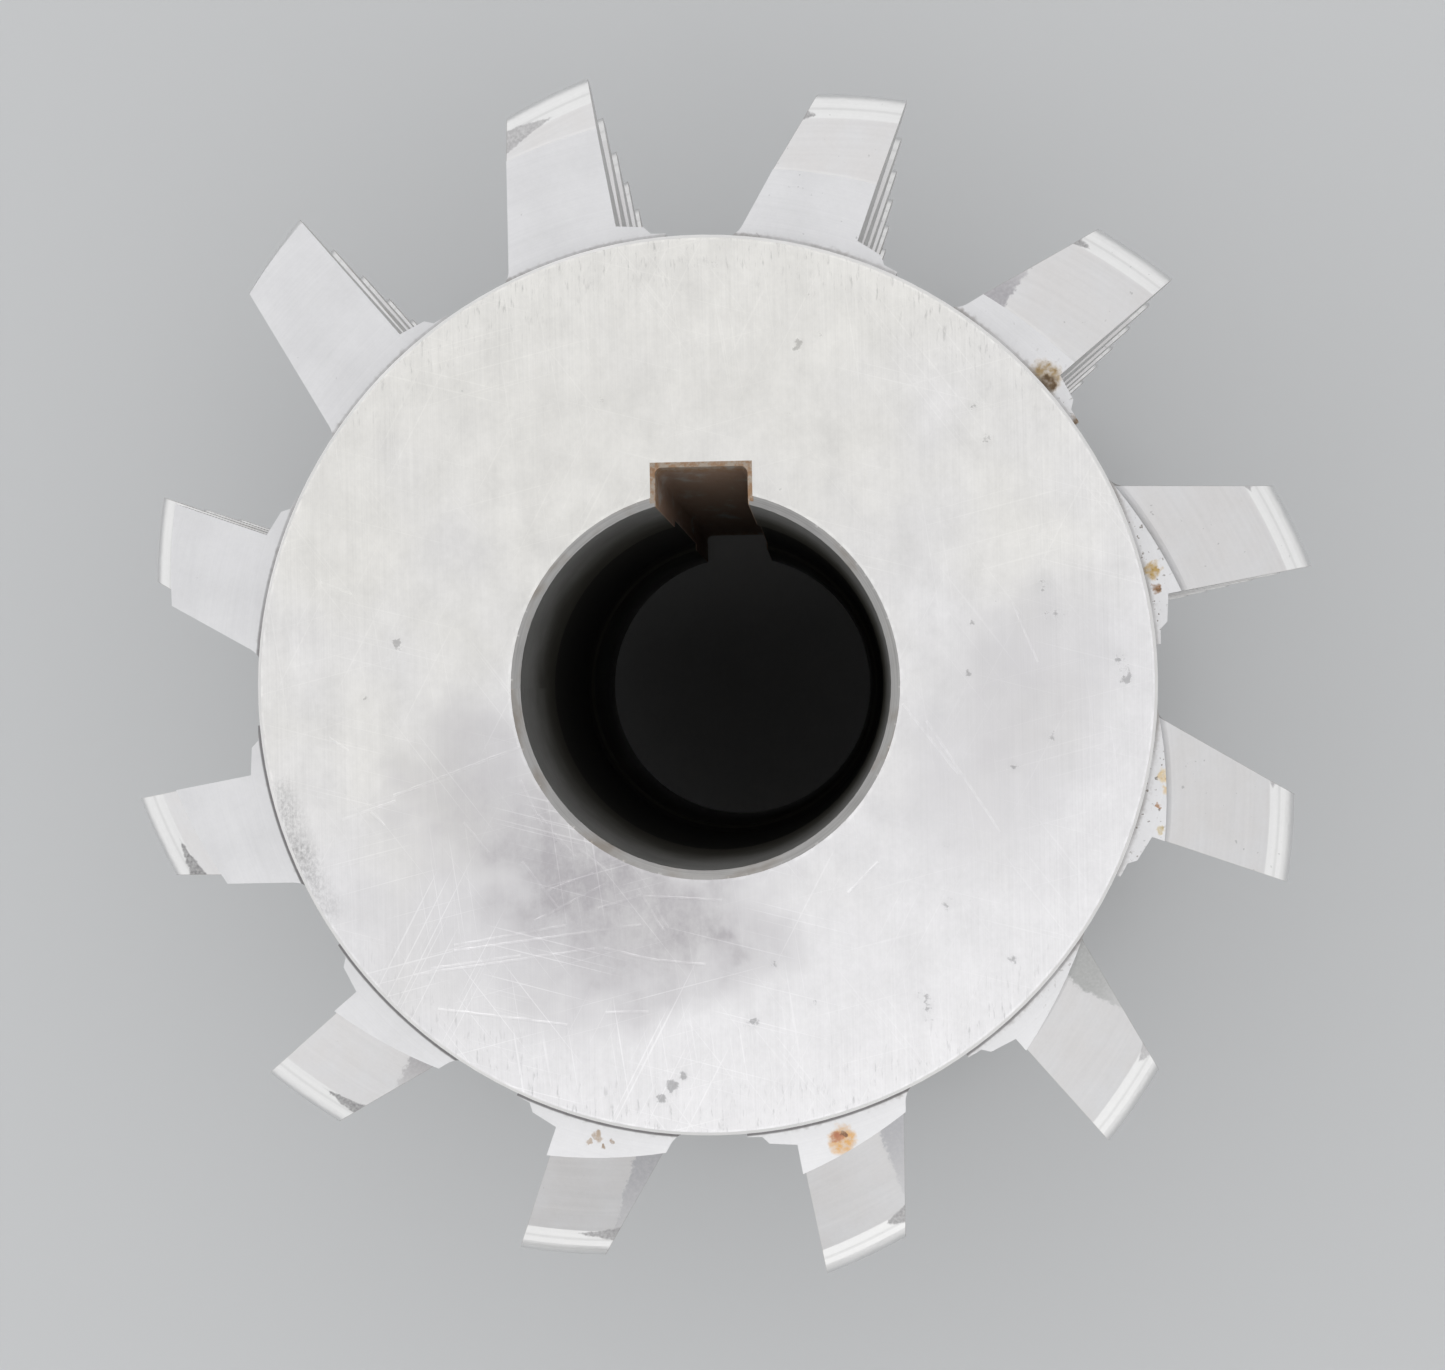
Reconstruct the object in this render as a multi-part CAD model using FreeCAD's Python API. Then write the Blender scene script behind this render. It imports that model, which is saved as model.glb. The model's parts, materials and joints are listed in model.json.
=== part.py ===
"""Solid gear hob, module 5: one start, right hand, twelve straight gashes, bore with keyway.

Frame: millimetres, +Z up along the bore axis, origin at the centre of the rear hub's face.
The keyway points to +Y.  Rows are numbered anticlockwise, seen from the front hub (+Z).

The real tool is one piece of high-speed steel.  Here it is divided, face to face, into the
features that a toolmaker names: the bored core, the two ground hubs and the twelve tooth rows.
"""
import FreeCAD, Part
import math
import os
from FreeCAD import Vector

# ---- driving dimensions (mm, degrees) ------------------------------------------------------
MODULE = 5.0
PRESSURE_ANGLE = 20.0
ROWS = 12
TOTAL_LENGTH = 104.0

BORE_RADIUS = 16.0            # 32 mm arbor
BORE_LAND_LENGTH = 30.0       # ground length at each end of the bore
BORE_RECESS_DEPTH = 0.7       # the middle of the bore is relieved by this much
BORE_CHAMFER = 0.75
KEYWAY_WIDTH = 8.0
KEYWAY_HEIGHT = 34.8          # from the far side of the bore to the keyway's floor
KEYWAY_CORNER_RADIUS = 0.6
KEYWAY_EDGE_BREAK = 0.4

HUB_RADIUS = 38.75
HUB_LENGTH = 3.0
HUB_EDGE_BREAK = 0.3

CORE_RADIUS = 38.9            # the gash floors, where the rows stand on the core
ROOT_RADIUS = 41.9            # bottom of the thread, at the rake face: 2.5 modules deep
TIP_RADIUS = 54.4             # top of the thread, at the rake face

FIRST_RAKE_ANGLE = 10.1       # row 01, anticlockwise from +X; the rake faces are radial
TIP_ARC = 8.2                 # a tooth's angular length along its top
GASH_ANGLE = 40.0             # between a rake face and the back of the row before it
GASH_CORNER_RADIUS = 2.0
GASH_CORNER_EDGE = 0.08       # the rounded corner ends in this step, not in a feather edge
RELIEF_PER_DEGREE = 0.1767    # how far the profile drops behind the rake face

FLANK_HALF_WIDTH_AT_TIP = 1.33    # where the straight flanks would meet the tip
PROTUBERANCE_HEIGHT = 2.4         # the last stretch of flank, steeper than the rest
PROTUBERANCE_ANGLE = 10.0
TIP_CORNER_RADIUS = 1.2
ROOT_CORNER_RADIUS = 1.2

FIRST_TOOTH_BELOW_FRONT = 7.04    # row 01's first tooth, middle, below the front end face

# A tooth near an end of the thread is ground lower.  Each pair is how far the middle of the
# tooth has come towards or past the end face, and the radius of its top from there on.
RUN_OUT_STEPS = ((-1.15, 49.3), (0.16, 47.5), (1.47, 43.35))

# Old regrinds left a stepped ledge in front of each rake face: (distance from the rake face,
# height along it), from the rake face down to the gash floor.
LEDGE_STEPS = ((0.0, 40.75), (2.35, 40.2), (2.87, 39.5), (4.15, 39.28))
LEDGE_END = 4.08              # distance from the rake face to the foot of the last step

# ---- worked out ----------------------------------------------------------------------------
AXIAL_PITCH = math.pi * MODULE
ROW_STEP = 360.0 / ROWS
FRONT_END = TOTAL_LENGTH - HUB_LENGTH
REAR_END = HUB_LENGTH
OUTSIDE = TIP_RADIUS + 4.0    # a radius clear of the whole tool
SECTION_ANGLES = (-3.0, 3.0, 9.0, 15.0, 21.0)


def polar(radius, degrees, z=0.0):
    angle = math.radians(degrees)
    return Vector(radius * math.cos(angle), radius * math.sin(angle), z)


def line(start, end):
    return Part.makeLine(start, end)


def arc(start, middle, end):
    return Part.Arc(start, middle, end).toShape()


def extruded(edges, bottom, top):
    """Solid from a closed outline drawn at z = 0."""
    face = Part.Face(Part.Wire(edges))
    face.translate(Vector(0, 0, bottom))
    return face.extrude(Vector(0, 0, top - bottom))


# ---- core and hubs -------------------------------------------------------------------------
def revolved(outline):
    """Solid of revolution about Z from (radius, z) points."""
    points = [Vector(radius, 0, z) for radius, z in outline]
    face = Part.Face(Part.makePolygon(points + points[:1]))
    return face.revolve(Vector(0, 0, 0), Vector(0, 0, 1), 360)


def keyway_slot():
    """The keyway as a bar through the whole length, with rounded floor corners."""
    half = KEYWAY_WIDTH / 2
    floor = KEYWAY_HEIGHT - BORE_RADIUS
    bar = Part.makeBox(KEYWAY_WIDTH, floor, TOTAL_LENGTH + 2, Vector(-half, 0, -1))
    corners = [edge for edge in bar.Edges
               if edge.BoundBox.ZLength > TOTAL_LENGTH and edge.BoundBox.YMin > floor / 2]
    bar = bar.makeFillet(KEYWAY_CORNER_RADIUS, corners)
    return bar


def keyway_mouth(z_face, inward):
    """The broken edge of the keyway at a hub face, as a wedge-sided cutter."""
    def outline(grow, z):
        half = KEYWAY_WIDTH / 2 + grow
        top = KEYWAY_HEIGHT - BORE_RADIUS + grow
        corners = [Vector(-half, 0, z), Vector(half, 0, z), Vector(half, top, z), Vector(-half, top, z)]
        return Part.makePolygon(corners + corners[:1])
    deep = z_face + inward * KEYWAY_EDGE_BREAK
    proud = z_face - inward * KEYWAY_EDGE_BREAK
    return Part.makeLoft([outline(0, deep), outline(2 * KEYWAY_EDGE_BREAK, proud)], True, True)


def bored_blank():
    """Core tube and both hubs in one, so that the bore, keyway and chamfers run through."""
    recess = BORE_RADIUS + BORE_RECESS_DEPTH
    chamfer = BORE_RADIUS + BORE_CHAMFER
    land_top = TOTAL_LENGTH - BORE_LAND_LENGTH
    outline = [(chamfer, 0), (HUB_RADIUS - HUB_EDGE_BREAK, 0), (HUB_RADIUS, HUB_EDGE_BREAK),
               (HUB_RADIUS, REAR_END), (CORE_RADIUS, REAR_END), (CORE_RADIUS, FRONT_END),
               (HUB_RADIUS, FRONT_END), (HUB_RADIUS, TOTAL_LENGTH - HUB_EDGE_BREAK),
               (HUB_RADIUS - HUB_EDGE_BREAK, TOTAL_LENGTH), (chamfer, TOTAL_LENGTH),
               (BORE_RADIUS, TOTAL_LENGTH - BORE_CHAMFER), (BORE_RADIUS, land_top),
               (recess, land_top - BORE_RECESS_DEPTH), (recess, BORE_LAND_LENGTH + BORE_RECESS_DEPTH),
               (BORE_RADIUS, BORE_LAND_LENGTH), (BORE_RADIUS, BORE_CHAMFER)]
    blank = revolved(outline).cut(keyway_slot())
    blank = blank.cut(keyway_mouth(TOTAL_LENGTH, -1))
    return blank.cut(keyway_mouth(0, 1))


def slab(bottom, top):
    return Part.makeBox(4 * OUTSIDE, 4 * OUTSIDE, top - bottom, Vector(-2 * OUTSIDE, -2 * OUTSIDE, bottom))


# ---- tooth rows ----------------------------------------------------------------------------
def core_arc(first, last):
    """Arc along the core's surface between two angles."""
    return arc(polar(CORE_RADIUS, first), polar(CORE_RADIUS, (first + last) / 2), polar(CORE_RADIUS, last))


def row_blank():
    """One row before the thread is cut, full length, with its rake face along +X.

    Its outline follows the gash on each side: rake face, back face, rounded back corner.
    """
    lean = math.radians(ROW_STEP - GASH_ANGLE)
    wall = Vector(math.cos(lean), math.sin(lean), 0)
    away = Vector(-wall.y, wall.x, 0)
    heel = polar(TIP_RADIUS - RELIEF_PER_DEGREE * TIP_ARC, TIP_ARC)

    # The corner's centre is its radius away from the back face and from the gash floor.
    floor = CORE_RADIUS + GASH_CORNER_EDGE
    reach = floor + GASH_CORNER_RADIUS
    on_offset = heel + away * GASH_CORNER_RADIUS
    along = on_offset.dot(wall)
    travel = -along + math.sqrt(along ** 2 - on_offset.dot(on_offset) + reach ** 2)
    centre = on_offset + wall * travel
    on_wall = centre - away * GASH_CORNER_RADIUS
    on_floor = centre * (floor / reach)
    inward = (on_wall + on_floor) * 0.5 - centre
    middle = centre + inward * (GASH_CORNER_RADIUS / inward.Length)

    end_angle = math.degrees(math.atan2(on_floor.y, on_floor.x))
    top_rake = polar(OUTSIDE, 0)
    top_back = heel + wall * (OUTSIDE - heel.Length)
    outline = [line(polar(CORE_RADIUS, 0), top_rake), line(top_rake, top_back),
               line(top_back, on_wall), arc(on_wall, middle, on_floor),
               line(on_floor, polar(CORE_RADIUS, end_angle)), core_arc(end_angle, 0)]
    return extruded(outline, REAR_END, FRONT_END)


def regrind_ledge():
    """The stepped ledge in front of the rake face, reaching a little way under the teeth."""
    steps = [Vector(height, -distance, 0) for distance, height in LEDGE_STEPS]
    end_angle = -math.degrees(math.asin(LEDGE_END / CORE_RADIUS))
    under = 1.0
    points = [polar(CORE_RADIUS, under), polar(LEDGE_STEPS[0][1], under)] + steps
    points.append(polar(CORE_RADIUS, end_angle))
    outline = [line(start, end) for start, end in zip(points, points[1:])]
    outline.append(core_arc(end_angle, under))
    return extruded(outline, REAR_END, FRONT_END)


def run_out_radius(middle_height):
    """Top radius of the tooth whose middle is at this height, lower near the thread's ends."""
    past_end = max(middle_height - FRONT_END, REAR_END - middle_height)
    top = TIP_RADIUS
    for start, radius in RUN_OUT_STEPS:
        if past_end > start:
            top = radius
    return top


def tooth_corners(middle_height):
    """Corners of one tooth as (radius, z, corner radius), from its lower foot to its upper."""
    flank = math.tan(math.radians(PRESSURE_ANGLE))
    steep = math.tan(math.radians(PROTUBERANCE_ANGLE))
    knee_radius = TIP_RADIUS - PROTUBERANCE_HEIGHT
    knee = FLANK_HALF_WIDTH_AT_TIP + PROTUBERANCE_HEIGHT * flank
    foot = FLANK_HALF_WIDTH_AT_TIP + (TIP_RADIUS - ROOT_RADIUS) * flank
    top = run_out_radius(middle_height)
    if top < knee_radius:
        shoulder = FLANK_HALF_WIDTH_AT_TIP + (TIP_RADIUS - top) * flank
        side = [(ROOT_RADIUS, foot, ROOT_CORNER_RADIUS), (top, shoulder, 0)]
    else:
        side = [(ROOT_RADIUS, foot, ROOT_CORNER_RADIUS), (knee_radius, knee, 0),
                (top, knee - PROTUBERANCE_HEIGHT * steep, TIP_CORNER_RADIUS)]
    lower = [(radius, middle_height - width, corner) for radius, width, corner in side]
    upper = [(radius, middle_height + width, corner) for radius, width, corner in reversed(side)]
    return lower + upper


def thread_corners(first_middle):
    """Corners of a whole row's thread outline, from below the rear end to past the front."""
    corners = [(ROOT_RADIUS, REAR_END - AXIAL_PITCH, 0)]
    count = int((first_middle - REAR_END + AXIAL_PITCH / 2) / AXIAL_PITCH)
    for turn in range(count, -1, -1):
        corners += tooth_corners(first_middle - turn * AXIAL_PITCH)
    corners.append((ROOT_RADIUS, FRONT_END + AXIAL_PITCH, 0))
    return corners


def rounded_edges(corners, place):
    """Lines and arcs through (radius, z, corner radius) points; place() puts them in space."""
    edges = []
    start = Vector(corners[0][0], corners[0][1], 0)
    for index in range(1, len(corners) - 1):
        before, here, after = [Vector(c[0], c[1], 0) for c in corners[index - 1:index + 2]]
        corner_radius = corners[index][2]
        if corner_radius:
            back = (before - here).normalize()
            ahead = (after - here).normalize()
            half_angle = back.getAngle(ahead) / 2
            reach = corner_radius / math.tan(half_angle)
            bisector = (back + ahead).normalize()
            middle = here + bisector * (corner_radius / math.sin(half_angle) - corner_radius)
            edges.append(line(place(start), place(here + back * reach)))
            edges.append(arc(place(here + back * reach), place(middle), place(here + ahead * reach)))
            start = here + ahead * reach
        else:
            edges.append(line(place(start), place(here)))
            start = here
    last = Vector(corners[-1][0], corners[-1][1], 0)
    edges.append(line(place(start), place(last)))
    return edges


def thread_body(first_middle):
    """The relieved thread of one row: the same outline, sinking and climbing behind the rake."""
    corners = thread_corners(first_middle)
    inner = CORE_RADIUS - 2
    sections = []
    for degrees in SECTION_ANGLES:
        drop = RELIEF_PER_DEGREE * degrees
        climb = AXIAL_PITCH * degrees / 360

        def place(point):
            return polar(point.x - drop, degrees, point.y + climb)

        edges = rounded_edges(corners, place)
        low = polar(inner, degrees, corners[0][1] + climb)
        high = polar(inner, degrees, corners[-1][1] + climb)
        edges.append(line(place(Vector(corners[-1][0], corners[-1][1], 0)), high))
        edges.append(line(high, low))
        edges.append(line(low, place(Vector(corners[0][0], corners[0][1], 0))))
        sections.append(Part.Wire(edges))
    return Part.makeLoft(sections, True, False)


def tooth_row(index):
    """Row number index + 1, turned to its place."""
    first_middle = FRONT_END - FIRST_TOOTH_BELOW_FRONT + index * AXIAL_PITCH / ROWS
    teeth = row_blank().common(thread_body(first_middle))
    row = teeth.fuse(regrind_ledge()).removeSplitter()
    row.rotate(Vector(0, 0, 0), Vector(0, 0, 1), FIRST_RAKE_ANGLE + index * ROW_STEP)
    return row


def build():
    blank = bored_blank()
    parts = {
        "core": blank.common(slab(REAR_END, FRONT_END)),
        "rear_hub": blank.common(slab(-1, REAR_END)),
        "front_hub": blank.common(slab(FRONT_END, TOTAL_LENGTH + 1)),
    }
    for index in range(ROWS):
        parts["tooth_row_%02d" % (index + 1)] = tooth_row(index)
    return parts


def save(parts):
    os.makedirs("parts", exist_ok=True)
    for name, shape in parts.items():
        solids = shape.Solids
        print(name, "solids", len(solids), "valid", shape.isValid(), "volume %.1f" % shape.Volume)
        shape = solids[0] if len(solids) == 1 else Part.makeCompound(solids)
        shape.exportStep("parts/" + name + ".step")


save(build())
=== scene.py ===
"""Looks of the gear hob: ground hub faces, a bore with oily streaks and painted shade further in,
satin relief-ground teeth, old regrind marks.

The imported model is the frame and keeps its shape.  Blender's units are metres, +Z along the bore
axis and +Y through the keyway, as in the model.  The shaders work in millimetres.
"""

import json
import math

import bpy
from mathutils import Matrix, Vector


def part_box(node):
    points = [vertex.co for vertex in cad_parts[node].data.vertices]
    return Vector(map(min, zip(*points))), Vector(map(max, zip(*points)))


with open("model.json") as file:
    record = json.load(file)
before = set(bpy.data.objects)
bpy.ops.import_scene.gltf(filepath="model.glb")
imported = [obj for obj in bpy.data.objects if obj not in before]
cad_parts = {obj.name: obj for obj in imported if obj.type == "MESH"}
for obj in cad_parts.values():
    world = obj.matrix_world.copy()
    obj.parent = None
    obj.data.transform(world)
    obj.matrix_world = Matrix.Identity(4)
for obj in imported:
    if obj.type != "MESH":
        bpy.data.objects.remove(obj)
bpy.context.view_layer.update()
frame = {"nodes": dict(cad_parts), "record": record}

# ---- sizes, from the frame where it holds them (mm) ----------------------------------------
MM = 0.001
ROWS = 12
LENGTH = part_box("front_hub")[1].z / MM
CORE_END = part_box("core")[1].z / MM
HALF = LENGTH / 2                         # the hub faces, from the middle of the length
FOOT = CORE_END - HALF                    # the hubs' feet and the teeth's end faces, likewise
HUB_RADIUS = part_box("front_hub")[1].x / MM
BORE_RADIUS = frame["record"]["mounts"][0]["dims"]["r_mm"]

# ---- the thread, as the model has it (mm, degrees) -----------------------------------------
AXIAL_PITCH = math.pi * 5                 # module 5, single start
FIRST_RAKE_ANGLE = 10.1
FIRST_MIDDLE = CORE_END - 7.04            # row 01's first tooth
RELIEF_PER_DEGREE = 0.1767
TIP_RADIUS = 54.4
TIP_ARC = 8.2
BACK_LEAN = -10.0                         # the back face against the rake face
KNEE_RADIUS = TIP_RADIUS - 2.4            # where the steeper tip flank begins

# ---- camera (mm, radians) ------------------------------------------------------------------
CAMERA_ABOVE = 225.3                      # over the front hub face
CAMERA_ASIDE = 10.26
CAMERA_TILT = 0.0388
CAMERA_TURN = math.radians(-1.1)          # the keyway isn't quite upright in the view
LENS = 65.4


def make_camera():
    data = bpy.data.cameras.new("camera")
    data.lens = LENS
    data.clip_start = 0.01
    camera = bpy.data.objects.new("camera", data)
    bpy.context.scene.collection.objects.link(camera)
    turn = Matrix.Rotation(CAMERA_TURN, 3, "Z")
    camera.location = turn @ Vector((CAMERA_ASIDE, 0, LENGTH + CAMERA_ABOVE)) * MM
    camera.rotation_euler = (0, CAMERA_TILT, CAMERA_TURN)
    bpy.context.scene.camera = camera


# ---- shader graphs written as formulas -----------------------------------------------------
class Signal:
    """A number that a shader graph works out at every point; usable in formulas."""

    def __init__(self, graph, socket):
        self.graph = graph
        self.socket = socket

    def __add__(self, other):
        return self.graph.math("ADD", self, other)

    def __sub__(self, other):
        return self.graph.math("SUBTRACT", self, other)

    def __rsub__(self, other):
        return self.graph.math("SUBTRACT", other, self)

    def __mul__(self, other):
        return self.graph.math("MULTIPLY", self, other)

    def __truediv__(self, other):
        return self.graph.math("DIVIDE", self, other)

    def __abs__(self):
        return self.graph.math("ABSOLUTE", self)

    __radd__ = __add__
    __rmul__ = __mul__

    def least(self, other):
        return self.graph.math("MINIMUM", self, other)

    def most(self, other):
        return self.graph.math("MAXIMUM", self, other)

    def rise(self, low, high):
        """0 below low, 1 above high, smooth between."""
        node = self.graph.node("ShaderNodeMapRange", interpolation_type="SMOOTHSTEP")
        self.graph.plug(self, node.inputs["Value"])
        self.graph.plug(low, node.inputs["From Min"])
        self.graph.plug(high, node.inputs["From Max"])
        return Signal(self.graph, node.outputs["Result"])

    def fall(self, low, high):
        """1 below low, 0 above high, smooth between."""
        return 1 - self.rise(low, high)


class Graph:
    """A shader graph whose nodes are made by formulas.

    A node is always made after the nodes that feed it.  Cycles works through them in the order
    of making, so few values wait at a time, and long formulas stay within its stack.
    """

    def __init__(self, tree):
        self.tree = tree
        tree.nodes.clear()

    def node(self, kind, **settings):
        made = self.tree.nodes.new(kind)
        for name, value in settings.items():
            setattr(made, name, value)
        return made

    def plug(self, value, socket):
        if isinstance(value, Signal):
            self.tree.links.new(value.socket, socket)
        else:
            socket.default_value = value

    def math(self, operation, first, second=0.0):
        made = self.node("ShaderNodeMath", operation=operation)
        self.plug(first, made.inputs[0])
        self.plug(second, made.inputs[1])
        return Signal(self, made.outputs[0])

    def split(self, socket, scale):
        """The three numbers of a vector socket, each times scale."""
        grown = self.node("ShaderNodeVectorMath", operation="SCALE")
        self.tree.links.new(socket, grown.inputs[0])
        grown.inputs["Scale"].default_value = scale
        parts = self.node("ShaderNodeSeparateXYZ")
        self.tree.links.new(grown.outputs[0], parts.inputs[0])
        return [Signal(self, output) for output in parts.outputs]

    def place_and_level(self):
        """Object position in mm as x, y and z, and how level the surface is: 1 flat, 0 upright."""
        coordinates = self.node("ShaderNodeTexCoord")
        x, y, z = self.split(coordinates.outputs["Object"], 1 / MM)
        facing_z = self.split(coordinates.outputs["Normal"], 1.0)[2]
        return x, y, z, abs(facing_z)

    def distance(self, x, y):
        """How far x, y is from 0, 0."""
        return self.math("SQRT", x * x + y * y)

    def vector(self, x, y, z):
        made = self.node("ShaderNodeCombineXYZ")
        for value, socket in zip((x, y, z), made.inputs):
            self.plug(value, socket)
        return Signal(self, made.outputs[0])

    def noise(self, x, y, z, detail=2.0, roughness=0.5):
        """Smooth noise around 0, about -0.5 to 0.5; one feature for each unit of x, y, z."""
        place = self.vector(x, y, z)
        made = self.node("ShaderNodeTexNoise")
        self.plug(place, made.inputs["Vector"])
        made.inputs["Scale"].default_value = 1.0
        made.inputs["Detail"].default_value = detail
        made.inputs["Roughness"].default_value = roughness
        return Signal(self, made.outputs["Fac"]) - 0.5

    def luck(self, first, second):
        """A random number from 0 to 1 that belongs to two whole numbers."""
        place = self.vector(first, second, 0.0)
        made = self.node("ShaderNodeTexWhiteNoise", noise_dimensions="2D")
        self.plug(place, made.inputs["Vector"])
        return Signal(self, made.outputs["Value"])

    def mix(self, factor, low, high):
        """Colour from low to high by factor; each is a colour or a colour Signal."""
        made = self.node("ShaderNodeMix", data_type="RGBA")
        made.clamp_factor = True
        self.plug(factor, made.inputs["Factor"])
        for value, socket in ((low, made.inputs["A"]), (high, made.inputs["B"])):
            self.plug(value if isinstance(value, Signal) else (*value, 1.0), socket)
        return Signal(self, made.outputs["Result"])

    def shade(self, colour, factor):
        """Colour times a number."""
        made = self.node("ShaderNodeVectorMath", operation="SCALE")
        self.plug(colour, made.inputs[0])
        self.plug(factor, made.inputs["Scale"])
        return Signal(self, made.outputs[0])

    def steel(self, colour, roughness, metallic, height):
        """The surface of a material; height is in mm, for the bump."""
        bump = self.node("ShaderNodeBump")
        bump.inputs["Strength"].default_value = 1.0
        bump.inputs["Distance"].default_value = MM
        self.plug(height, bump.inputs["Height"])
        shader = self.node("ShaderNodeBsdfPrincipled")
        self.plug(colour, shader.inputs["Base Color"])
        self.plug(roughness, shader.inputs["Roughness"])
        self.plug(metallic, shader.inputs["Metallic"])
        self.tree.links.new(bump.outputs["Normal"], shader.inputs["Normal"])
        output = self.node("ShaderNodeOutputMaterial")
        self.tree.links.new(shader.outputs[0], output.inputs[0])


def new_material(name):
    material = bpy.data.materials.new(name)
    material.use_nodes = True
    return material


def spot(x, y, centre, radius, edge):
    """1 inside a round spot, 0 outside, with a soft edge (mm)."""
    distance = x.graph.distance(x - centre[0], y - centre[1])
    return distance.fall(radius - edge, radius + edge)


def stroke(x, y, start, end, width):
    """1 on a thin scratch between two points, 0 away from it."""
    run = Vector(end) - Vector(start)
    length = run.length
    ahead = run / length
    from_x = x - start[0]
    from_y = y - start[1]
    along = from_x * ahead.x + from_y * ahead.y
    across = from_y * ahead.x - from_x * ahead.y
    past_end = (along - length).most(along * -1)
    return abs(across).most(past_end).fall(width * 0.4, width)


def bent(graph, x, y, size, amount, seed):
    """x and y pushed about by noise, so that what is placed with them gets uneven edges (mm)."""
    push_x = graph.noise(x / size, y / size, seed, detail=3.0)
    push_y = graph.noise(x / size, y / size, seed + 40, detail=3.0)
    return x + push_x * amount, y + push_y * amount


def total(masks):
    """The sum of the masks, at most 1; each is added as soon as it is made."""
    result = 0
    for mask in masks:
        result = mask + result
    return result.least(1.0)


def at_front(z):
    """1 on the front hub face and the teeth's front end faces, 0 further back."""
    return z.rise(LENGTH - 14, LENGTH - 13)


def grinding_lines(graph, across, along, seed):
    """Fine lines left by a grinding wheel: rough across, long along; about -0.5 to 0.5."""
    fine = graph.noise(across * 7.0, along * 0.08, seed, detail=1.0)
    coarse = graph.noise(across * 1.9, along * 0.045, seed + 5, detail=2.0)
    return fine * 0.6 + coarse * 0.4


def hairlines(graph, x, y, angle, seed):
    """Sparse hair-thin scratches that run at about one angle (degrees)."""
    ahead = Vector((math.cos(math.radians(angle)), math.sin(math.radians(angle))))
    along = x * ahead.x + y * ahead.y
    across = y * ahead.x - x * ahead.y
    return graph.noise(across * 5.5, along * 0.05, seed, detail=0.0).rise(0.24, 0.32)


# ---- hub faces, bore and core --------------------------------------------------------------
# Colours are linear.
FACE_WARM = (0.83, 0.82, 0.795)
FACE_COOL = (0.80, 0.795, 0.81)
RIM_STEEL = (0.72, 0.71, 0.70)
CHAMFER_STEEL = (0.50, 0.495, 0.49)
CHAMFER_TINT = (0.34, 0.31, 0.28)
BORE_MOUTH = (0.26, 0.26, 0.255)
BORE_DEEP_SHADE = (0.065, 0.062, 0.05)
BORE_RELIEVED_SHADE = (0.02, 0.019, 0.016)
GASH_STEEL = (0.36, 0.35, 0.34)
GASH_SCALE = (0.22, 0.19, 0.155)
# brown dirt; also painted shade at the hubs' feet and under the hub
GRIME_AND_SHADE = (0.16, 0.13, 0.10)
RUST = (0.33, 0.20, 0.115)
RUST_PALE = (0.42, 0.36, 0.30)
RUST_DARK = (0.34, 0.235, 0.175)
WORN_GREY = (0.44, 0.43, 0.41)
SMUDGE_AND_REFLECTION = (0.475, 0.46, 0.48)

SCRATCH_WIDTH = 0.14
HAIRLINE_ANGLES = (14, 62, 98, 127, 165)
WORKED_CENTRE = (-12.0, -20.0)            # the middle of the most scratched part of the face

# Scratches on the front hub face, from and to (mm), that are brighter than the face.
BRIGHT_SCRATCHES = [
    ((-22, -22.5), (-6, -20.5)), ((-22, -22), (-12.5, -20.5)), ((-25.5, -24.5), (-10, -22.5)),
    ((-24, -24), (-16.5, -23)), ((-23.5, -27.5), (-12.5, -29)), ((-9, -28), (-5.5, -28)),
    ((-15, -20), (-9, -17)), ((-9.5, -19), (-6, -18)), ((-6, -18), (1, -18.5)),
    ((-6, -17.5), (-4, -21)), ((-4.5, -19), (-3.5, -21)), ((-9, -22.5), (-5, -23.5)),
    ((-5, -23.5), (-0.5, -24)), ((-14, -17.5), (-10, -16)), ((-11, -14), (-8.5, -16)),
    ((-14.5, -11), (-11.5, -14.5)), ((-16, -15), (-13, -19)), ((-16, -8), (-14, -12.5)),
    ((-21, -11.5), (-19, -14)), ((-27, -9), (-16, -5)), ((-31.5, -11), (-27, -9.5)),
    ((-29, -10.5), (-28, -11.5)), ((-32.5, -4), (-31, -5)), ((-33, 9.5), (-30.5, 8.5)),
    ((12, -18), (14.5, -15.5)), ((17, -2), (21.5, -8)), ((19, -3.5), (25, -13)),
    ((26.5, 6.5), (28.5, 1.5)),
]
# Crumbs and small stains on the front hub face: centre and radius (mm), and how dark.
CRUMBS = [
    ((1.5, 36), 1.3, 0.35), ((9.5, 33.5), 1.0, 0.30), ((8.5, 29), 0.9, 0.60),
    ((10.5, 30), 0.7, 0.35), ((-8.5, 24.5), 0.6, 0.40), ((7.5, 23), 0.7, 0.30),
    ((11, 20), 0.9, 0.35), ((23.5, 23.5), 0.8, 0.50), ((24.5, 20.5), 0.9, 0.55),
    ((29, 8), 1.3, 0.40), ((30, 5.5), 1.3, 0.40), ((23, 5), 0.5, 0.50), ((22.5, 0.5), 0.5, 0.50),
    ((35.5, 1.5), 1.0, 0.50), ((36, 0), 1.2, 0.60), ((-26.5, 4), 0.8, 0.80),
    ((-29.5, -0.5), 0.4, 0.60), ((29.5, -5), 0.8, 0.40), ((26.5, -7.5), 0.8, 0.50),
    ((20.5, -14), 1.0, 0.35), ((20.5, -19), 1.1, 0.40), ((26, -24), 0.7, 0.70),
    ((18.5, -27), 1.3, 0.40), ((18.5, -28.5), 1.1, 0.40), ((9, -27.5), 1.0, 0.30),
    ((5.5, -24), 0.6, 0.50), ((3.5, -29), 1.0, 0.60), ((-2.5, -33.5), 0.7, 0.70),
    ((-3.5, -34.5), 0.9, 0.80), ((-4.5, -35.5), 0.8, 0.80),
]
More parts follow.
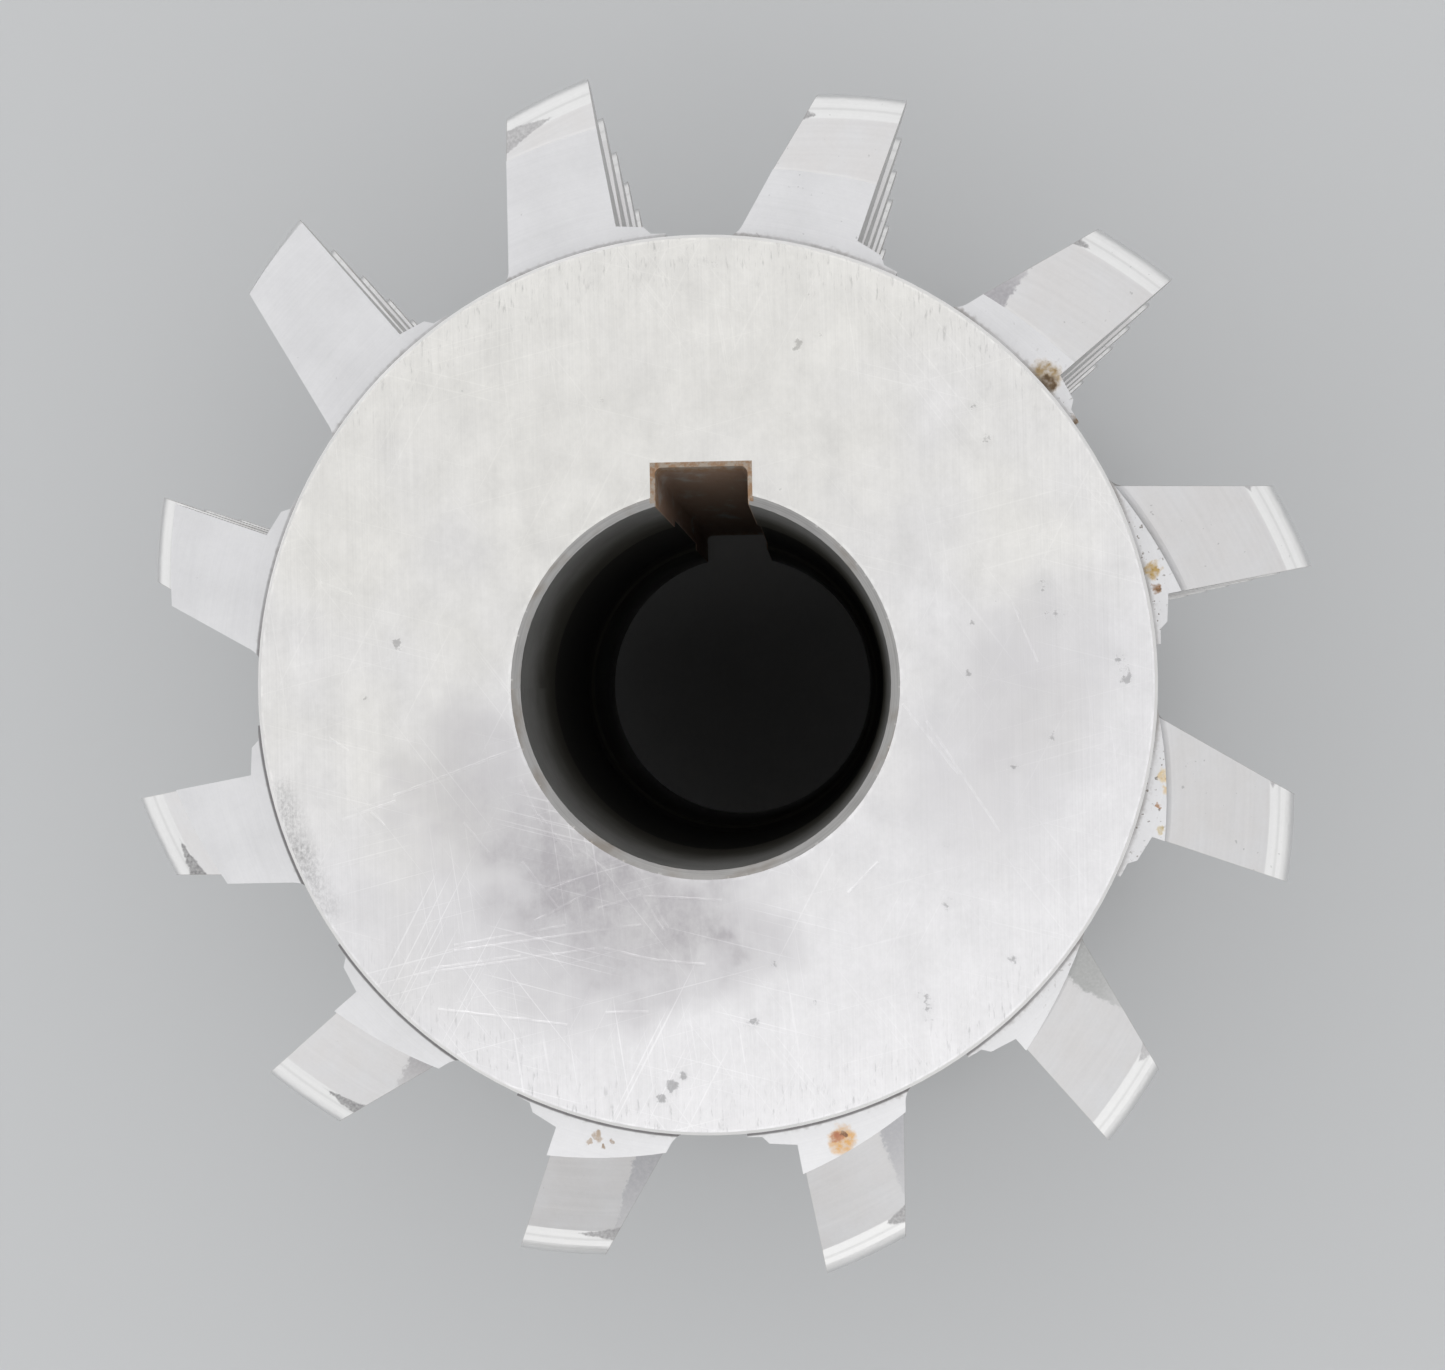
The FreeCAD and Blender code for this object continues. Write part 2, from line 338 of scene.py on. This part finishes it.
# Patches of short dark marks by the rim: centre, radius (mm) and strength.
RIM_DIRT = [
    ((-36, -9), 1.7, 0.45), ((-35, -12), 2.2, 0.50), ((-34.5, -15), 1.9, 0.50),
    ((-33, -18), 1.6, 0.35),
]
# Broad darker patches, partly smudges and partly a painted reflection of the dark surroundings:
# centre, radius (mm) and strength.
SMUDGES_AND_DARK_REFLECTIONS = [
    ((-9.5, -20), 8.0, 0.62), ((0.5, -20.5), 5.5, 0.45), ((0, -21.5), 1.5, 0.25),
    ((-12, -14.5), 5.0, 0.30), ((-19.5, -9), 6.0, 0.45), ((-24, -20), 7.0, 0.15),
    ((28.5, 1), 6.0, 0.25), ((24, -8), 7.0, 0.22),
]


class BodyPlace:
    """Where a point lies on the turned body; every value is a Signal in mm, `angle` in radians."""

    def __init__(self, graph):
        self.x, self.y, self.z, self.level = graph.place_and_level()
        self.radius = graph.distance(self.x, self.y)
        self.angle = graph.math("ARCTAN2", self.y, self.x)
        self.ends = abs(self.z - HALF)    # from the middle of the length towards either end


def hub_face(graph, at):
    """Colour, roughness and height of the ground hub faces; the placed marks are on the front."""
    x, y, radius = at.x, at.y, at.radius
    front = at_front(at.z)
    near_x, near_y = bent(graph, x, y, 1.3, 1.1, 1.0)
    wide_x, wide_y = bent(graph, x, y, 5.0, 12.0, 7.0)
    bits = graph.noise(x * 1.7, y * 1.7, 13.0, detail=5.0, roughness=0.65)

    # scratches wander less than the stains do
    wander_x = x * 0.85 + near_x * 0.15
    wander_y = y * 0.85 + near_y * 0.15
    scratches = total(stroke(wander_x, wander_y, start, end, SCRATCH_WIDTH)
                      for start, end in BRIGHT_SCRATCHES)
    scratches = scratches * graph.noise(x * 0.8, y * 0.8, 3.0).rise(-0.3, 0.25) * front
    stains = total(spot(near_x, near_y, centre, size * 0.6, size * 0.6) * strength
                   for centre, size, strength in CRUMBS) * front
    crumbs = (stains + bits * 1.6).rise(0.33, 0.60) * stains.rise(0.0, 0.25)
    dirt = total(spot(near_x, near_y, centre, size, size * 0.6) * strength
                 for centre, size, strength in RIM_DIRT)
    dirt = dirt * radius.rise(HUB_RADIUS - 3.15, HUB_RADIUS - 0.55) * front
    dirt = dirt * graph.noise(x * 3.8, y * 2.4, 17.0, detail=5.0, roughness=0.7).rise(-0.2, 0.2)
    smudged_and_reflected = total(spot(wide_x, wide_y, centre, size, size * 0.7) * strength
                    for centre, size, strength in SMUDGES_AND_DARK_REFLECTIONS) * front

    layer = at.z * 0.02                   # gives the two hub faces different noise
    lines = grinding_lines(graph, x, y, layer)
    cloud = graph.noise(x * 0.07, y * 0.06, layer, detail=3.0)
    blotch = graph.noise(x * 0.32, y * 0.22, layer + 4, detail=5.0, roughness=0.62)
    grain = graph.noise(x * 2.1, y * 1.5, layer + 8, detail=3.0, roughness=0.7)
    specks = graph.noise(x * 1.1, y * 1.1, layer + 21, detail=2.0).rise(0.27, 0.33)
    rim_strokes = graph.noise(x * 3.2, y * 0.62, 11.0, detail=4.0, roughness=0.6).rise(0.05, 0.23)
    rim_strokes = rim_strokes * radius.rise(32, 38) * abs(y).rise(16, 32)
    # painted highlight in patches along the bore's edge and the rim
    edges = radius.fall(BORE_RADIUS + 0.9, BORE_RADIUS + 1.1).most(
        radius.rise(HUB_RADIUS - 0.55, HUB_RADIUS - 0.4))
    patchy_edge_highlights = edges * graph.noise(x * 0.9, y * 0.9, 27.0, detail=4.0).rise(-0.12, 0.16)
    hairs = total(hairlines(graph, x, y, angle, layer + angle) for angle in HAIRLINE_ANGLES)
    worked = spot(wide_x, wide_y, WORKED_CENTRE, 15.0, 12.0) * front

    warm = (y * 0.02 - x * 0.006 + cloud * 1.6 + 0.45).rise(0.0, 1.0)
    colour = graph.mix(warm, FACE_COOL, FACE_WARM)
    # smudges, and painted reflection of the dark surroundings
    colour = graph.mix(smudged_and_reflected * (1 + blotch * 2.2 + grain * 0.9), colour, SMUDGE_AND_REFLECTION)
    brightness = 1 + lines * (radius.rise(22, 38) * 0.10 + 0.08) + blotch * 0.15 + grain * 0.13
    brightness = brightness + scratches * 0.27 + hairs * (worked * 0.13 + 0.04) + patchy_edge_highlights * 0.10
    brightness = brightness - crumbs * 0.28 - stains * 0.10 - dirt * 0.65
    brightness = brightness - specks * 0.2 - rim_strokes * 0.25
    rough = 0.42 + blotch * 0.12 + crumbs * 0.25 - scratches * 0.10
    height = lines * 0.005 + grain * 0.003 - crumbs * 0.01 - scratches * 0.006 - specks * 0.008
    return graph.shade(colour, brightness), rough, height


def bore_wall(graph, at, relieved):
    """Colour and honing marks of the bore: grey by the mouth, with painted shade further in and in
    the relieved middle, and oily streaks.
    """
    honed = graph.noise(at.z * 5.0, at.angle * 2.0, 1.0, detail=2.0)
    oil = graph.noise(at.angle * 2.2, at.z * 0.09, 5.0, detail=4.0)
    # painted shade: darker from the mouth inwards
    colour = graph.mix((at.ends + oil * 14).rise(24, 54), BORE_DEEP_SHADE, BORE_MOUTH)
    colour = graph.shade(colour, 1 + honed * 0.5 + oil * 0.5)
    # painted shade: near black in the relieved middle
    return graph.mix(relieved, colour, BORE_RELIEVED_SHADE), honed


def keyway_wall(graph, at):
    """Colour and rust flakes of the keyway, greyer where the key has rubbed."""
    flakes = graph.noise(at.x * 1.3, at.y * 1.3, at.z * 0.5, detail=5.0, roughness=0.7)
    rubbed = graph.noise(at.x * 0.35, at.y * 0.35, at.z * 0.10 + 30, detail=5.0, roughness=0.6)
    near_face = at.ends.rise(HALF - 8, HALF - 0.2)
    colour = graph.mix((flakes + near_face * 0.45).rise(-0.05, 0.40), RUST_DARK, RUST)
    pale = (flakes * -1 + near_face * 0.12).rise(0.02, 0.20) * near_face
    colour = graph.mix(pale, colour, RUST_PALE)
    rubbed = rubbed.rise(0.04, 0.26) * at.ends.fall(HALF - 1.5, HALF - 0.5)
    return graph.mix(rubbed, colour, WORN_GREY), flakes


def chamfer_ring(graph, at):
    """Colour of the chamfer round the bore's mouth, nicked along its outer edge."""
    turned = graph.noise(at.radius * 9.0, at.angle * 1.5, at.z * 4.0)
    grey = graph.noise(at.angle * 3.5, at.radius * 0.5, 8.0, detail=4.0)
    nicks = graph.noise(at.angle * 25, 0.0, 2.0, detail=4.0).rise(0.06, 0.2)
    nicks = nicks * at.radius.rise(BORE_RADIUS + 0.5, BORE_RADIUS + 0.7)
    colour = graph.mix(grey.rise(-0.02, 0.2), CHAMFER_STEEL, CHAMFER_TINT)
    return graph.shade(colour, 1.1 + turned * 0.5 + grey * 0.8 + nicks * 0.7)


def hub_rim(graph, at, edge):
    """Colour and marks of the hubs' round rims, with a painted highlight along the outer edge."""
    ground_round = graph.noise(at.z * 6.0, at.angle * 3.0, 6.0)
    return graph.shade(RIM_STEEL, 1 + ground_round * 0.2 + edge * 0.35), ground_round


def gash_floor(graph, at):
    """Colour and scale of the milled gash floors, where they belong to the core."""
    scale = graph.noise(at.angle * 14, at.z * 0.25, 3.0, detail=5.0, roughness=0.6)
    milled = graph.noise(at.z * 1.2, at.angle * 9, 2.0, detail=2.0)
    colour = graph.mix(scale.rise(-0.1, 0.3), GASH_STEEL, GASH_SCALE)
    return graph.shade(colour, 1 + milled * 0.3), scale


def body_material():
    """The core and both hubs: the finish changes with the place on the turned body."""
    material = new_material("hob_body")
    graph = Graph(material.node_tree)
    at = BodyPlace(graph)
    radius, level, ends = at.radius, at.level, at.ends

    face = level.rise(0.93, 0.97) * ends.rise(HALF - 0.1, HALF - 0.05)
    edge_break = ends.rise(HALF - 0.5, HALF - 0.4) * 0.4
    keyway = (abs(at.x) - edge_break).fall(4.04, 4.1) * (1 - face)
    keyway = keyway * at.y.rise(BORE_RADIUS - 0.7, BORE_RADIUS - 0.5) * radius.fall(22, 23)
    by_bore = radius.fall(18, 19) * (1 - face)
    chamfer = by_bore * level.rise(0.3, 0.5) * ends.rise(HALF - 2, HALF - 1)
    bore = by_bore * (1 - chamfer)
    relieved = radius.rise(BORE_RADIUS + 0.2, BORE_RADIUS + 0.4) * bore * (1 - keyway)
    # dirt with painted shade at the hubs' feet, where the rims meet the end faces
    foot = ends.rise(FOOT - 0.1, FOOT - 0.05) * ends.fall(FOOT + 0.3, FOOT + 0.6)
    foot = foot * radius.rise(HUB_RADIUS - 0.05, HUB_RADIUS - 0.03)
    rim = radius.rise(HUB_RADIUS - 0.55, HUB_RADIUS - 0.35) * ends.rise(FOOT + 0.02, FOOT + 0.1)
    rim = rim * (1 - face)
    # painted highlight on the rims' outer edge break
    rim_edge_highlight = rim * ends.rise(HALF - 0.4, HALF - 0.3)

    face_colour, face_rough, face_height = hub_face(graph, at)
    bore_colour, honed = bore_wall(graph, at, relieved)
    keyway_colour, flakes = keyway_wall(graph, at)
    chamfer_colour = chamfer_ring(graph, at)
    rim_colour, ground_round = hub_rim(graph, at, rim_edge_highlight)
    floor_colour, scale = gash_floor(graph, at)

    colour = graph.mix(rim, floor_colour, rim_colour)
    colour = graph.mix(foot, colour, GRIME_AND_SHADE)
    colour = graph.mix(bore, colour, bore_colour)
    colour = graph.mix(chamfer, colour, chamfer_colour)
    colour = graph.mix(keyway, colour, keyway_colour)
    colour = graph.mix(face, colour, face_colour)

    rough = 0.5 + scale * 0.2 - rim * 0.12
    rough = rough + bore * (honed * 0.1 + ends.fall(HALF - 18, HALF) * 0.4)
    rough = rough + (keyway + relieved) * 0.1
    rough = rough - chamfer * 0.1
    rough = rough * (1 - face) + face_rough * face
    metallic = (1 - keyway * 0.95 - foot * 0.5 - bore * 0.6 - relieved * 0.4).most(0.0)
    height = face * face_height + bore * honed * 0.004
    height = height + keyway * flakes * 0.15 + rim * ground_round * 0.004
    graph.steel(colour, rough, metallic, height)
    return material


# ---- teeth ---------------------------------------------------------------------------------
FLANK_STEEL = (0.655, 0.645, 0.645)
FLANK_CLOUD = (0.66, 0.66, 0.67)
TIP_STEEL = (0.72, 0.72, 0.72)
END_STEEL = (0.77, 0.77, 0.785)
RAKE_STEEL = (0.62, 0.61, 0.595)
RAKE_OILY = (0.38, 0.33, 0.28)
BACK_STEEL = (0.36, 0.35, 0.345)
BACK_SCALE = (0.24, 0.22, 0.20)
# painted shadow colour for the dark line under the hub
PAINTED_CORNER_SHADOW = (0.12, 0.115, 0.12)

# Where the relief grinding missed the heel of a row's first tooth and the hardened skin still
# shows.  At the foot: lowest and highest profile radius, width from the heel at the bottom (mm)
# and colour.  At the tip: length of the wedge from the heel, its thickness there (mm) and grey.
FOOT_PATCHES = {
    2: (43.3, 48.3, 2.2, (0.41, 0.40, 0.42)),
    8: (42.5, 49.0, 3.2, (0.44, 0.43, 0.44)),
    9: (43.0, 54.0, 2.6, (0.43, 0.43, 0.45)),
    10: (43.3, 51.5, 2.6, (0.51, 0.51, 0.53)),
    11: (43.3, 48.8, 2.9, (0.46, 0.465, 0.46)),
}
TIP_PATCHES = {
    1: (0.9, 0.8, 0.45), 2: (1.4, 1.1, 0.32), 3: (1.0, 1.0, 0.35), 4: (4.6, 2.0, 0.44),
    6: (2.2, 1.2, 0.50), 7: (3.7, 1.6, 0.27), 8: (3.7, 1.4, 0.29), 9: (3.3, 1.4, 0.36),
    10: (2.2, 1.7, 0.38), 11: (1.4, 1.3, 0.50), 12: (0.7, 0.7, 0.45),
}
# Rows with more dust on them.
DUSTY_ROWS = (12, 1, 2, 3)
# Stains on a row's front end face: centre (mm, model axes), radius and colour.
STAINS = {
    1: [((38.8, 9.2), 0.7, (0.55, 0.38, 0.14)), ((39.2, 7.6), 0.4, (0.35, 0.2, 0.1)),
        ((46.7, 12.3), 0.35, (0.28, 0.13, 0.08))],
    2: [((29.8, 26.0), 1.4, (0.40, 0.29, 0.15)), ((30.1, 25.5), 0.8, (0.14, 0.09, 0.05)),
        ((32.8, 21.8), 0.9, (0.24, 0.16, 0.09))],
    9: [((-9.0, -39.6), 0.22, (0.42, 0.31, 0.22)), ((-10.3, -39.2), 0.38, (0.56, 0.46, 0.37)),
        ((-11.0, -39.7), 0.25, (0.56, 0.46, 0.37)), ((-9.8, -40.0), 0.2, (0.45, 0.36, 0.28))],
    10: [((11.1, -39.7), 1.15, (0.80, 0.50, 0.22)), ((10.6, -39.5), 0.5, (0.55, 0.25, 0.15)),
         ((11.2, -39.2), 0.22, (0.30, 0.17, 0.11))],
    12: [((39.5, -8.6), 0.6, (0.80, 0.65, 0.42)), ((39.8, -9.9), 0.45, (0.78, 0.62, 0.40)),
         ((38.9, -11.2), 0.25, (0.5, 0.3, 0.18)), ((39.0, -13.4), 0.35, (0.68, 0.58, 0.38))],
}


class ToothPlace:
    """Where a point lies on a row of teeth; every value is a Signal, in mm unless it says otherwise.

    `ahead` and `behind` are the row's own axes: the rake face lies along `ahead`.  `profile` is
    the radius without the relief, so that it stays the same from the rake face to the heel.
    `off_middle` runs along Z from the middle of the tooth, and `inside` is how far in front of
    the back face the point lies.
    """

    def __init__(self, graph, row):
        self.x, self.y, self.z, self.level = graph.place_and_level()
        turn = math.radians(FIRST_RAKE_ANGLE + (row - 1) * 360 / ROWS)
        self.ahead = self.x * math.cos(turn) + self.y * math.sin(turn)
        self.behind = self.y * math.cos(turn) - self.x * math.sin(turn)
        self.radius = graph.distance(self.x, self.y)
        self.degrees = graph.math("ARCTAN2", self.behind, self.ahead) * math.degrees(1)
        self.profile = self.radius + self.degrees * RELIEF_PER_DEGREE

        first_middle = FIRST_MIDDLE + (row - 1) * AXIAL_PITCH / ROWS
        turns = (self.z - first_middle - self.degrees * (AXIAL_PITCH / 360)) / AXIAL_PITCH
        self.tooth = graph.math("ROUND", turns)          # counts the row's teeth, 0 at the front
        self.off_middle = (turns - self.tooth) * AXIAL_PITCH

        lean = math.radians(BACK_LEAN)
        heel_radius = TIP_RADIUS - RELIEF_PER_DEGREE * TIP_ARC
        heel_angle = math.radians(TIP_ARC)
        heel = Vector((heel_radius * math.cos(heel_angle), heel_radius * math.sin(heel_angle)))
        away = Vector((-math.sin(lean), math.cos(lean)))
        self.inside = heel.dot(away) - self.ahead * away.x - self.behind * away.y


def add_heel_skin(graph, at, row, colour, flank, amount):
    """The colour with the hardened skin over it; where the skin lies; and how mottled it is."""
    ragged = graph.noise(at.ahead * 1.2, at.behind * 1.2, at.z * 0.6, detail=5.0, roughness=0.7)
    mottled = graph.noise(at.ahead * 4.0, at.behind * 4.0, at.z * 2.0, detail=3.0)
    skin = flank * 0
    if row in FOOT_PATCHES:
        low, high, width, skin_colour = FOOT_PATCHES[row]
        reach = ((high - at.profile) * (width / (high - low))).least(width) * amount
        patch = (reach - at.inside + ragged * 1.5).rise(0.0, 0.3) * flank
        patch = patch * at.profile.fall(high, high + 1) * at.profile.fall(low + 1, high + 3)
        colour = graph.mix(patch * (mottled * 0.8 + 0.9).least(1.0), colour, skin_colour)
        skin = skin.most(patch)
    if row in TIP_PATCHES:
        length, thick, grey = TIP_PATCHES[row]
        taper = (1 - at.inside / length) * thick * amount
        off_knee = abs(at.profile - KNEE_RADIUS - 0.25)
        wedge = (taper * 0.5 - off_knee + ragged * 0.7).rise(0.0, 0.2) * flank
        wedge = wedge * at.inside.fall(length * 0.8, length * 1.1)
        skin_colour = (grey, grey * 0.985, grey)
        colour = graph.mix(wedge * (mottled * 1.2 + 0.8).least(1.0), colour, skin_colour)
        skin = skin.most(wedge)
    return colour, skin, mottled


def rake_face(graph, at):
    """Colour and sharpening lines of the rake faces and the ledges in front of them."""
    sharpened = grinding_lines(graph, at.radius, at.z, 2.0)
    oily = graph.noise(at.ahead * 0.3, at.z * 0.12, at.behind * 0.3, detail=4.0)
    colour = graph.mix(oily.rise(-0.05, 0.4), RAKE_STEEL, RAKE_OILY)
    return graph.shade(colour, 1 + sharpened * 0.3), sharpened


def back_face(graph, at):
    """Colour and height of the milled backs."""
    milled = graph.noise(at.z * 1.4, at.ahead * 0.3, 6.0, detail=2.0)
    scale = graph.noise(at.ahead * 0.8, at.behind * 0.8, at.z * 0.5, detail=5.0, roughness=0.6)
    colour = graph.mix(scale.rise(-0.2, 0.3), BACK_STEEL, BACK_SCALE)
    return graph.shade(colour, 1 + milled * 0.3), milled * 0.02 + scale * 0.02


def end_face(graph, at, row, cloud, brightness):
    """The ground end faces: colour, stains, dirt and painted shade under the hub, and height."""
    x, y, radius = at.x, at.y, at.radius
    front = at_front(at.z)
    turned = graph.noise(radius * 5.0, at.degrees * 0.03, 4.0)
    colour = graph.shade(END_STEEL, brightness + turned * 0.08)
    bits = graph.noise(x * 2.2, y * 2.2, 5.0, detail=4.0)
    near_x, near_y = bent(graph, x, y, 0.7, 1.2, 5.0)
    stained = front * 0
    for centre, size, stain_colour in STAINS.get(row, []):
        mark = spot(near_x, near_y, centre, size, size * 0.3) * front
        colour = graph.mix(mark * (bits * 2 + 0.8), colour, stain_colour)
        stained = stained.most(mark)
    # dirt by the hub's foot, darkened further as painted shade under the hub
    grime_and_shade = (radius + bits * 0.9).fall(HUB_RADIUS + 0.35, HUB_RADIUS + 0.95)
    grime_and_shade = grime_and_shade * (cloud + 0.35).rise(0.0, 0.6)
    crumbs = bits.rise(0.11, 0.19) * radius.fall(39.8, 42.5) * x.rise(26, 36) * front
    colour = graph.mix((grime_and_shade * 0.5).most(crumbs * 0.8), colour, GRIME_AND_SHADE)
    # painted shadow: the dark line where the end face meets the hub, strongest low on the left
    corner_shadow = (radius + x * 0.0035).fall(HUB_RADIUS + 0.61, HUB_RADIUS + 0.75)
    corner_shadow = corner_shadow * ((y + x * 0.5).fall(-30, 8) * 0.6 + 0.2)
    colour = graph.mix(corner_shadow, colour, PAINTED_CORNER_SHADOW)
    return colour, stained, grime_and_shade, turned * 0.003 + stained * bits * 0.15


def tooth_material(row):
    """One row of teeth: relief-ground flanks and tips, rake faces, backs and end faces."""
    material = new_material("tooth_steel_%02d" % row)
    graph = Graph(material.node_tree)
    at = ToothPlace(graph, row)
    end = at.level.rise(0.9925, 0.996)
    back = at.inside.fall(0.01, 0.03) * (1 - end)
    rake = at.behind.fall(0.01, 0.03) * (1 - end)
    flank = (1 - end) * (1 - back) * (1 - rake)

    # relief-grinding lines run behind the rake at a constant profile radius
    lines = grinding_lines(graph, at.profile + at.off_middle * 1.7, at.degrees, at.tooth * 3.0)
    cloud = graph.noise(at.ahead * 0.25, at.behind * 0.25, at.z * 0.2, detail=4.0)
    grain = graph.noise(at.x * 2.4, at.y * 2.4, at.z * 2.4, detail=3.0, roughness=0.7)
    dust = 0.05 if row in DUSTY_ROWS else 0.0
    specks = graph.noise(at.x * 1.8, at.y * 1.8, at.z * 1.8 + row, detail=2.0)
    specks = specks.rise(0.26 - dust, 0.32 - dust)
    knee_line = abs(at.profile - KNEE_RADIUS - 0.85).fall(0.03, 0.19) * flank
    # painted highlight: the flank a little brighter along the edge by the end face
    end_edge_highlight = abs(at.z - HALF).rise(FOOT - 0.12, FOOT - 0.04) * flank
    tip = at.profile.rise(KNEE_RADIUS - 0.15, KNEE_RADIUS + 0.10) * flank

    # painted shade: the teeth behind the row's first one are a little darker; their skin varies by
    # chance
    behind_first = 1 - abs(at.z - (LENGTH - 8)).fall(9, 11)
    amount = 1 - behind_first + behind_first * graph.luck(at.tooth, row) * 1.3
    colour = graph.mix(cloud.rise(-0.2, 0.3), FLANK_STEEL, FLANK_CLOUD)
    colour = graph.mix(tip, colour, TIP_STEEL)
    brightness = 1 + lines * 0.16 + cloud * 0.08 + grain * 0.08 - specks * 0.25
    brightness = brightness - knee_line * 0.10 + end_edge_highlight * 0.06 - behind_first * 0.12
    colour = graph.shade(colour, brightness)
    colour, skin, mottled = add_heel_skin(graph, at, row, colour, flank, amount)

    rake_colour, sharpened = rake_face(graph, at)
    back_colour, back_height = back_face(graph, at)
    end_brightness = 1 + cloud * 0.10 + grain * 0.08 - specks * 0.25
    end_colour, stained, grime_and_shade, end_height = end_face(graph, at, row, cloud, end_brightness)
    colour = graph.mix(rake, colour, rake_colour)
    colour = graph.mix(back, colour, back_colour)
    colour = graph.mix(end, colour, end_colour)

    rough = 0.42 + lines * 0.10 + cloud * 0.08 + skin * 0.15
    rough = rough + back * 0.10 - rake * 0.08 + end * stained * 0.3
    metallic = 1 - skin * 0.2 - end * stained * 0.6 - end * grime_and_shade * 0.4
    height = flank * (lines * 0.006 - knee_line * 0.006) + skin * mottled * 0.01
    height = height + rake * sharpened * 0.005 + back * back_height + end * end_height
    graph.steel(colour, rough, metallic, height)
    return material


def paint():
    body = body_material()
    for name, node in frame["nodes"].items():
        material = tooth_material(int(name[-2:])) if name.startswith("tooth_row") else body
        node.data.materials.clear()
        node.data.materials.append(material)


# ---- light and floor (m) -------------------------------------------------------------------
TENT_BRIGHTNESS = 1.20
KEY_PLACE = Vector((0.06, -0.52, 1.35))   # metres; a little below the middle of the picture
KEY_SIZE = 0.5
KEY_WATTS = 1.0
KEY_COLOUR = (1.0, 0.99, 0.97)
FLOOR_SIZE = 12.0
FLOOR_COLOUR = (0.55, 0.56, 0.57)


def make_tent():
    """A light tent: bright all round, with the camera's dark opening straight overhead."""
    world = bpy.data.worlds.new("light_tent")
    bpy.context.scene.world = world
    world.use_nodes = True
    graph = Graph(world.node_tree)
    direction = graph.node("ShaderNodeTexCoord").outputs["Generated"]
    across, forward, up = graph.split(direction, 1.0)
    towards_opening = up - across * 0.08 - forward * 0.025
    opening = towards_opening.rise(0.935, 0.975) * 0.70 + up.rise(0.984, 0.988) * 0.22
    # a dark seam at the front, which the flanks of the lowest rows in the picture mirror
    seam = forward.fall(-0.72, -0.58) * up.rise(0.1, 0.3) * abs(across + 0.13).fall(0.20, 0.34)
    right = across.most(0.0) * up.fall(0.75, 0.92)
    brightness = TENT_BRIGHTNESS - up.fall(0.1, 0.75) * 0.24 - right * 0.24 - opening - seam * 0.68
    background = graph.node("ShaderNodeBackground")
    graph.plug(graph.shade((1.0, 1.0, 1.0), brightness), background.inputs["Color"])
    output = graph.node("ShaderNodeOutputWorld")
    graph.tree.links.new(background.outputs[0], output.inputs[0])
    bpy.context.scene.view_settings.view_transform = "Standard"


def make_key():
    """A large soft lamp that points at the front hub face."""
    data = bpy.data.lights.new("key", "AREA")
    data.size = KEY_SIZE
    data.energy = KEY_WATTS
    data.color = KEY_COLOUR
    light = bpy.data.objects.new("key", data)
    bpy.context.scene.collection.objects.link(light)
    light.location = KEY_PLACE
    towards_face = Vector((0, 0, LENGTH * MM)) - KEY_PLACE
    light.rotation_euler = towards_face.to_track_quat("-Z", "Y").to_euler()


def make_floor():
    bpy.ops.mesh.primitive_plane_add(size=FLOOR_SIZE, location=(0, 0, 0))
    floor = bpy.context.object
    floor.name = "floor"
    material = new_material("pale_floor")
    shader = material.node_tree.nodes["Principled BSDF"]
    shader.inputs["Base Color"].default_value = (*FLOOR_COLOUR, 1.0)
    shader.inputs["Roughness"].default_value = 0.8
    floor.data.materials.append(material)


make_camera()
make_tent()
make_key()
make_floor()
paint()
